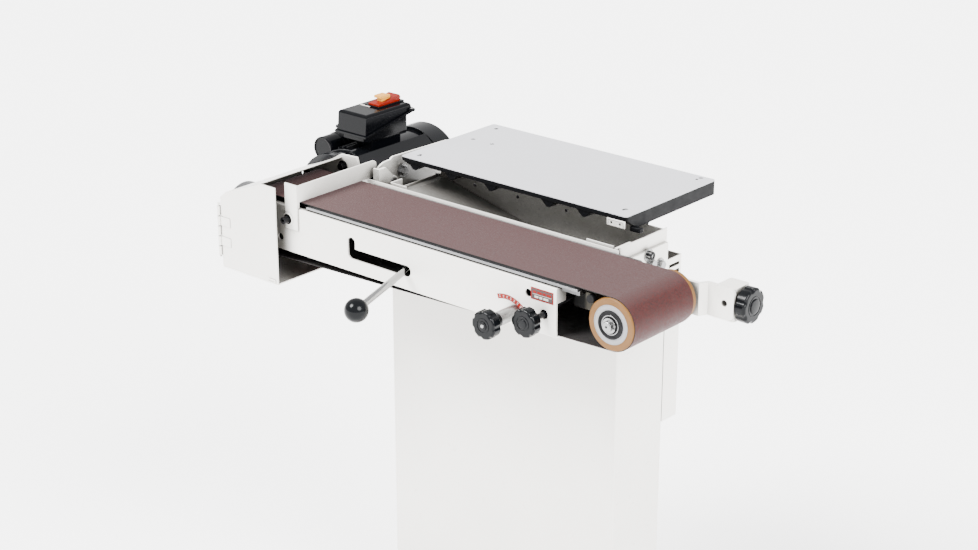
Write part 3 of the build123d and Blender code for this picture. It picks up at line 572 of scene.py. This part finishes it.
# ---- finishes on the mechanical model ----------------------------------------------------------
NODE_FINISH = {
    "white_paint": (
        "pedestal rear_box end_plate_left end_bracket end_post_block front_panel "
        "hood_shell hood_hinge hood_door work_stop pivot_lugs motor_plate base_plate gussets "
        "table_guides"
    ),
    "shaded_white_inside": "dust_pan",
    "frame_paint_shaded_below": "back_plate",
    "shadow_paint": "cross_tubes lever_mount spring_anchor",
    "black_paint": "motor_housing motor_fan_cover",
    "table_grey": "table_face",
    "table_black": "table_casting table_arms",
    "bare_steel": (
        "frame_bolts pivot_pins table_screws idler_shaft idler_circlip tension_spring motor_rotor "
        "tracking_sleeve"
    ),
    "dark_steel": "head_bolts",
    "platen_steel": "platen dust_port",
    "lever_chrome": "tension_lever",
    "cast_iron": "idler_carrier drive_core",
    "abrasive": "sanding_belt",
    "graphite": "graphite_pad",
    "roller_tan": "idler_sleeve",
    "roller_white": "idler_hub",
    "black_rubber": "carrier_bumper drive_lagging idler_bearings",
    "black_plastic": "lever_ball end_knob table_knob_left table_knob_right tracking_knob lock_knob",
    "switch_black": "switch_box switch_lid capacitor motor_fan",
    "red_plastic": "switch_toggle",
    "yellow_plastic": "safety_key",
    "copper_winding": "motor_stator",
    "label_red": "labels",
}


class SANDER_OT_finishes(PieceOperator, bpy.types.Operator):
    """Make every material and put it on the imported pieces"""

    bl_idname = "sander.finishes"
    bl_label = "Finishes"

    def build(self, colours, sizes):
        FINISHES.update(make_finishes(colours))
        for finish, names in NODE_FINISH.items():
            for name in names.split():
                dress(NODES[name], FINISHES[finish])
        dressed = {name for names in NODE_FINISH.values() for name in names.split()}
        bare = sorted(set(NODES) - dressed)
        if bare:
            raise RuntimeError(f"no finish for {bare}")


# ---- added detail ------------------------------------------------------------------------------
class SANDER_OT_belt(PieceOperator, bpy.types.Operator):
    """Replace the belt with a smooth loop: grit outside, cloth inside"""

    bl_idname = "sander.belt"
    bl_label = "Sanding belt"

    def build(self, colours, sizes):
        low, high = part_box("sanding_belt")
        small = high.z - IDLER.z
        large = DRIVE_OUTER
        hub = Vector((low.x + large, 0, low.z + large))
        reach = hub - Vector((IDLER.x, 0, IDLER.z))
        limit = (small - large) / reach.length
        clear_selection()
        bpy.ops.mesh.primitive_cylinder_add(
            vertices=160, radius=small, depth=high.y - low.y, end_fill_type="NOTHING",
            location=(IDLER.x, (low.y + high.y) / 2, IDLER.z), rotation=TURNS["y"],
        )
        belt = bpy.context.object
        belt.name = "belt_loop"
        bpy.ops.object.transform_apply(location=True, rotation=True, scale=True)
        edit(belt, "VERT")
        for vertex in belt.data.vertices:
            arm = Vector((vertex.co.x - IDLER.x, 0, vertex.co.z - IDLER.z)).normalized()
            vertex.select = arm.dot(reach.normalized()) > limit
        bpy.ops.object.mode_set(mode="EDIT")
        bpy.ops.transform.resize(
            value=(large / small, 1, large / small), center_override=(IDLER.x, (low.y + high.y) / 2, IDLER.z),
        )
        bpy.ops.transform.translate(value=reach)
        bpy.ops.object.mode_set(mode="OBJECT")
        apply_modifier(belt, "SOLIDIFY", thickness=BELT_THICK, offset=-1)
        finish_piece(belt, "head", "abrasive", angle=40)
        belt.data.materials.append(FINISHES["cloth"])
        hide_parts("sanding_belt")
        side = Vector((0, 1, 0))
        for face in belt.data.polygons:
            centre = IDLER if face.center.x > IDLER.x - 0.3 else hub
            outward = (face.center - centre).dot(face.normal) > 0
            face.material_index = 0 if outward and abs(face.normal.dot(side)) < 0.5 else 1


class SANDER_OT_labels(PieceOperator, bpy.types.Operator):
    """Fill the red labels with plain blocks that stand for print"""

    bl_idname = "sander.labels"
    bl_label = "Labels"

    def build(self, colours, sizes):
        field = box_piece("label_field", at(-153.2, -0.65, 7.8), at(-110.8, -0.35, 24.2), 0.0001, 1)
        finish_piece(field, "head", "label_grey")
        rows = []
        for x, width in ((-150.5, 7), (-141.5, 9), (-130.5, 6), (-122.5, 9)):
            rows.append(box_piece("mark", at(x, -0.85, 17), at(x + width, -0.6, 21), 0.00008, 1))
        reds = join("label_upper_marks", rows)
        finish_piece(reds, "head", "label_red")
        rows = [box_piece("mark", at(-151.4, -0.8, 15.2), at(-112.6, -0.6, 15.9), 0.00005, 1)]
        for x, width in ((-147, 8), (-137, 6), (-129, 10)):
            rows.append(box_piece("mark", at(x, -0.85, 9.6), at(x + width, -0.6, 13.2), 0.00008, 1))
        finish_piece(join("label_lower_marks", rows), "head", "label_white")
        hub = at(-206, 0, -58)
        dashes = []
        for place in range(7):
            angle = math.radians(55 + 8.2 * place)
            for inner, outer in ((51.2, 52.3), (53.9, 55.0)):
                low = hub + Vector((inner * MM, -0.6 * MM, -0.0013))
                high = hub + Vector((outer * MM, -0.35 * MM, 0.0013))
                dash = box_piece("dash", low, high, 0.00006, 1)
                turn_piece(dash, -angle, "y", hub)
                dashes.append(dash)
        finish_piece(join("label_scale_marks", dashes), "head", "label_white")
        tag = box_piece("switch_tag", at(-801, 281, 137.6), at(-777, 286, 138.5), 0.00012, 2)
        finish_piece(tag, "head", "label_white")


class SANDER_OT_knob_caps(PieceOperator, bpy.types.Operator):
    """Put a stepped cap in the face of each hand knob"""

    bl_idname = "sander.knob_caps"
    bl_label = "Knob caps"

    def build(self, colours, sizes):
        cap = sizes.cap_radius
        for name, body, face in (
            ("tracking", "tracking_knob", at(-188, -79, -26)),
            ("lock", "lock_knob", at(-128, -53, -14.5)),
            ("table_left", "table_knob_left", at(-470, 389, -60)),
            ("table_right", "table_knob_right", at(-236, 389, -60)),
        ):
            outward = 1 if "table" in name else -1
            centre = face + Vector((0, 0.0002 * outward, 0))
            disc = round_piece(f"{name}_cap", centre, "y", cap, 0.0024, 0.001, 48, 4)
            rim = ring_piece(f"{name}_rim", centre, "y", cap + 0.0035, cap + 0.0052, 0.0014, 0.0005)
            whole = join(f"{name}_knob_cap", [disc, rim])
            finish_piece(whole, body, "black_plastic")
        nut = round_piece("tracking_nut", at(-188, -80.2, -26), "y", 0.0031, 0.0022, 0.0008, 24)
        finish_piece(nut, "tracking_knob", "bare_steel")
        face = at(119, 225, -5)
        disc = round_piece("end_cap", face, "x", 0.0125, 0.0036, 0.0017, 56, 4)
        rim = ring_piece("end_rim", face, "x", 0.0155, 0.0172, 0.0014, 0.0005)
        finish_piece(join("end_knob_cap", [disc, rim]), "end_knob", "black_plastic")


class SANDER_OT_idler_face(PieceOperator, bpy.types.Operator):
    """Add the bearing's races, the shaft's centre and the lip on the roller's face"""

    bl_idname = "sander.idler_face"
    bl_label = "Idler face"

    def build(self, colours, sizes):
        rings = [
            ring_piece("seal_ring", at(0, 4.3, 0), "y", 0.0148, 0.0164, 0.0014),
            ring_piece("inner_race", at(0, 3.8, 0), "y", 0.0090, 0.0108, 0.0018),
        ]
        finish_piece(join("bearing_races", rings), "idler", "bare_steel")
        centre = round_piece("shaft_centre", at(0, -6.0, 0), "y", 0.0019, 0.0006, 0.0002, 24, 2)
        finish_piece(centre, "idler_carrier", "black_rubber")
        lip = ring_piece("core_lip", at(0, 6.0, 0), "y", 0.0312, 0.0325, 0.0012)
        finish_piece(lip, "idler", "roller_white")


class SANDER_OT_switch(PieceOperator, bpy.types.Operator):
    """Add the switch lid's hold-down ears, screws and rocker frame"""

    bl_idname = "sander.switch"
    bl_label = "Switch details"

    def build(self, colours, sizes):
        places = [at(-814, 240, 103.5), at(-738, 353, 124.5)]
        ears = repeat(round_piece("switch_ears", places[0], "z", 0.0075, 0.0045, 0.0014, 36), places)
        finish_piece(ears, "head", "switch_black")
        places = [place + Vector((0, 0, 0.003)) for place in places]
        screw = round_piece("switch_screws", places[0], "z", sizes.screw_radius, 0.0030, 0.0012, 28)
        finish_piece(repeat(screw, places), "head", "bare_steel")
        low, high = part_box("switch_toggle")
        frame_low = Vector((low.x - 0.003, low.y - 0.003, IDLER.z + 0.1376))
        frame_high = Vector((high.x + 0.003, high.y + 0.003, IDLER.z + 0.1392))
        surround = box_piece("rocker_frame", frame_low, frame_high, 0.0006, 2)
        sink_face(surround, (0, 0, 1), 0.0016, 0.0006)
        finish_piece(surround, "head", "switch_black")


class SANDER_OT_motor(PieceOperator, bpy.types.Operator):
    """Add the motor's fins, bands, cover screws and capacitor bands"""

    bl_idname = "sander.motor"
    bl_label = "Motor details"

    def build(self, colours, sizes):
        axis = at(-780, 0, -12.5)
        fins = []
        blade = box_piece("fin", at(-703.5, 232, -13.7), at(-696.5, 392, -11.3), 0.0008)
        for angle in list(range(96, 190, 8)) + list(range(196, 345, 8)):
            fin = copy_piece(blade, Vector())
            turn_piece(fin, -math.radians(angle), "y", axis)
            fins.append(fin)
        fins.append(blade)
        turn_piece(blade, math.radians(8), "y", axis)
        finish_piece(join("motor_fins", fins), "head", "black_paint")
        places = [at(-780, y, -12.5) for y in (195.5, 222)]
        band = ring_piece("motor_bands", places[0], "y", 0.0775, 0.0815, 0.006, 0.0012)
        finish_piece(repeat(band, places), "head", "black_paint")
        centre = at(-780, 450.2, -12.5)
        places = [
            centre + Vector((math.cos(math.radians(turn)), 0, math.sin(math.radians(turn)))) * 0.0705
            for turn in (45, 135, 225, 315)
        ]
        screw = round_piece("fan_cover_screws", places[0], "y", sizes.screw_radius, 0.0026, 0.0010, 28)
        finish_piece(repeat(screw, places), "head", "bare_steel")
        rim = ring_piece("capacitor_rim", at(-841, 223, 58), "y", 0.0195, 0.0233, 0.005, 0.0014)
        cap = ring_piece("capacitor_clip", at(-841, 262, 58), "y", 0.0228, 0.0240, 0.012, 0.0004)
        finish_piece(join("capacitor_bands", [rim, cap]), "head", "switch_black")


class SANDER_OT_sheet_detail(PieceOperator, bpy.types.Operator):
    """Add the small screws, hinge pins, door catch, washer, bracket and caps of the sheet work"""

    bl_idname = "sander.sheet_detail"
    bl_label = "Sheet work details"

    def build(self, colours, sizes):
        small = sizes.screw_radius
        places = [at(-857.5, -26.5, z) for z in (-87, 13)]
        pin = round_piece("hinge_pin_heads", places[0], "z", 0.0024, 0.0028, 0.0010, 24)
        finish_piece(repeat(pin, places), "head", "white_paint")
        catch = box_piece("catch", at(-735, -27.5, -106), at(-717, -24.5, -99), 0.0010, 3)
        sink_face(catch, (0, -1, 0), 0.0016, 0.0007)
        finish_piece(catch, "hood_door", "white_paint")
        screw = round_piece("work_stop_screw", at(-685, 186, 62), "x", small, 0.0036, 0.0012, 28)
        finish_piece(screw, "head", "bare_steel")
        washer = ring_piece("stop_washer", at(-703, -3.6, 12.7), "y", 0.0066, 0.0122, 0.0014, 0.0004)
        finish_piece(washer, "head", "white_paint")
        places = [at(x, y, 85.1) for x, y in ((-165, 252), (-622, 252), (-165, 462), (-622, 462))]
        screw = round_piece("table_screw_heads", places[0], "z", small * 0.62, 0.0007, 0.0003, 28, 2)
        finish_piece(repeat(screw, places), "table", "dark_steel")
        bracket = box_piece("bracket", at(-179, 225.2, 63), at(-142, 227.9, 76), 0.0008, 2)
        sink_face(bracket, (0, -1, 0), 0.0016, 0.0006)
        finish_piece(bracket, "table", "white_paint")
        # painted shade: thin black discs stand for the dark inside of the bracket's two holes
        places = [at(x, 225.7, 69.5) for x in (-170, -152)]
        hole = round_piece("bracket_hole_shade", places[0], "y", 0.0019, 0.0006, 0.0002, 24, 2)
        finish_piece(repeat(hole, places), "table", "black_rubber")
        block = box_piece("corner_rest", at(-139, 236, 58), at(-118, 246, 66), 0.0012, 3)
        sink_face(block, (1, 0, 0), 0.0014, 0.0008)
        finish_piece(block, "table", "table_black")
        places = [at(x, 225.6, 68) for x in (-560, -470, -372, -265)]
        screw = round_piece("table_edge_screws", places[0], "y", 0.0028, 0.0016, 0.0006, 28)
        finish_piece(repeat(screw, places), "table", "dark_steel")
        cap = round_piece("frame_cap", at(-104, 250, 19), "x", 0.0070, 0.0085, 0.0009, 36)
        sink_face(cap, (1, 0, 0), 0.0028, 0.0022)
        finish_piece(cap, "stand", "dark_steel")


class SANDER_OT_stage(PieceOperator, bpy.types.Operator):
    """Add the floor, the soft lights and the camera"""

    bl_idname = "sander.stage"
    bl_label = "Stage"

    def build(self, colours, sizes):
        clear_selection()
        bpy.ops.mesh.primitive_plane_add(size=60, location=(0, 0, 0))
        floor = bpy.context.object
        floor.name = "floor"
        f = Finish("pale_floor")
        tone = f.mix(f.noise(0.8, 3), rgb((0.92, 0.92, 0.92)), rgb((0.95, 0.95, 0.945)))
        glow = rgb((1.0, 1.0, 1.0))
        dress(floor, f.surface(Base_Color=tone, Roughness=0.8, Emission_Color=glow, Emission_Strength=1.6))
        world = bpy.data.worlds.new("soft_room")
        world.use_nodes = True
        world.node_tree.nodes["Background"].inputs["Color"].default_value = (1, 1, 1, 1)
        world.node_tree.nodes["Background"].inputs["Strength"].default_value = 1.6
        bpy.context.scene.world = world
        for name, way, spread, power in (
            ("key_light", (-0.45, -0.75, 1.0), 25, 8.5), ("right_light", (1.0, -0.2, 0.7), 35, 6.5),
        ):
            lamp = bpy.data.objects.new(name, bpy.data.lights.new(name, "SUN"))
            lamp.data.angle = math.radians(spread)
            lamp.data.energy = power
            lamp.location = Vector(way) * 3
            lamp.rotation_euler = (-Vector(way)).to_track_quat("-Z", "Y").to_euler()
            bpy.context.scene.collection.objects.link(lamp)
        camera = bpy.data.objects.new("camera", bpy.data.cameras.new("camera"))
        camera.data.lens = 74.87
        camera.data.sensor_width = 36
        camera.location = (2.1231, -2.5576, 2.0254)
        camera.rotation_euler = (math.radians(68.82), 0, math.radians(40.75))
        bpy.context.scene.collection.objects.link(camera)
        bpy.context.scene.camera = camera


PIECES = (
    SANDER_OT_finishes, SANDER_OT_belt, SANDER_OT_labels, SANDER_OT_knob_caps, SANDER_OT_idler_face,
    SANDER_OT_switch, SANDER_OT_motor, SANDER_OT_sheet_detail,
)


class SANDER_PT_panel(bpy.types.Panel):
    """Lists the pieces in the order they are made"""

    bl_idname = "SANDER_PT_panel"
    bl_label = "Edge sander"
    bl_space_type = "VIEW_3D"
    bl_region_type = "UI"
    bl_category = "Sander"

    def draw(self, context):
        for group in (context.scene.sander_colours, context.scene.sander_sizes):
            box = self.layout.box()
            for key in group.bl_rna.properties.keys():
                if key not in ("rna_type", "name"):
                    box.prop(group, key)
        for piece in (*PIECES, SANDER_OT_stage):
            self.layout.operator(piece.bl_idname)


CLASSES = (SanderColours, SanderSizes, *PIECES, SANDER_OT_stage, SANDER_PT_panel)


def register():
    for entry in CLASSES:
        bpy.utils.register_class(entry)
    bpy.types.Scene.sander_colours = bpy.props.PointerProperty(type=SanderColours)
    bpy.types.Scene.sander_sizes = bpy.props.PointerProperty(type=SanderSizes)


def unregister():
    del bpy.types.Scene.sander_sizes
    del bpy.types.Scene.sander_colours
    for entry in reversed(CLASSES):
        bpy.utils.unregister_class(entry)


def main():
    register()
    for piece in (*PIECES, SANDER_OT_stage):
        group, name = piece.bl_idname.split(".")
        getattr(getattr(bpy.ops, group), name)()


if __name__ == "__main__":
    main()
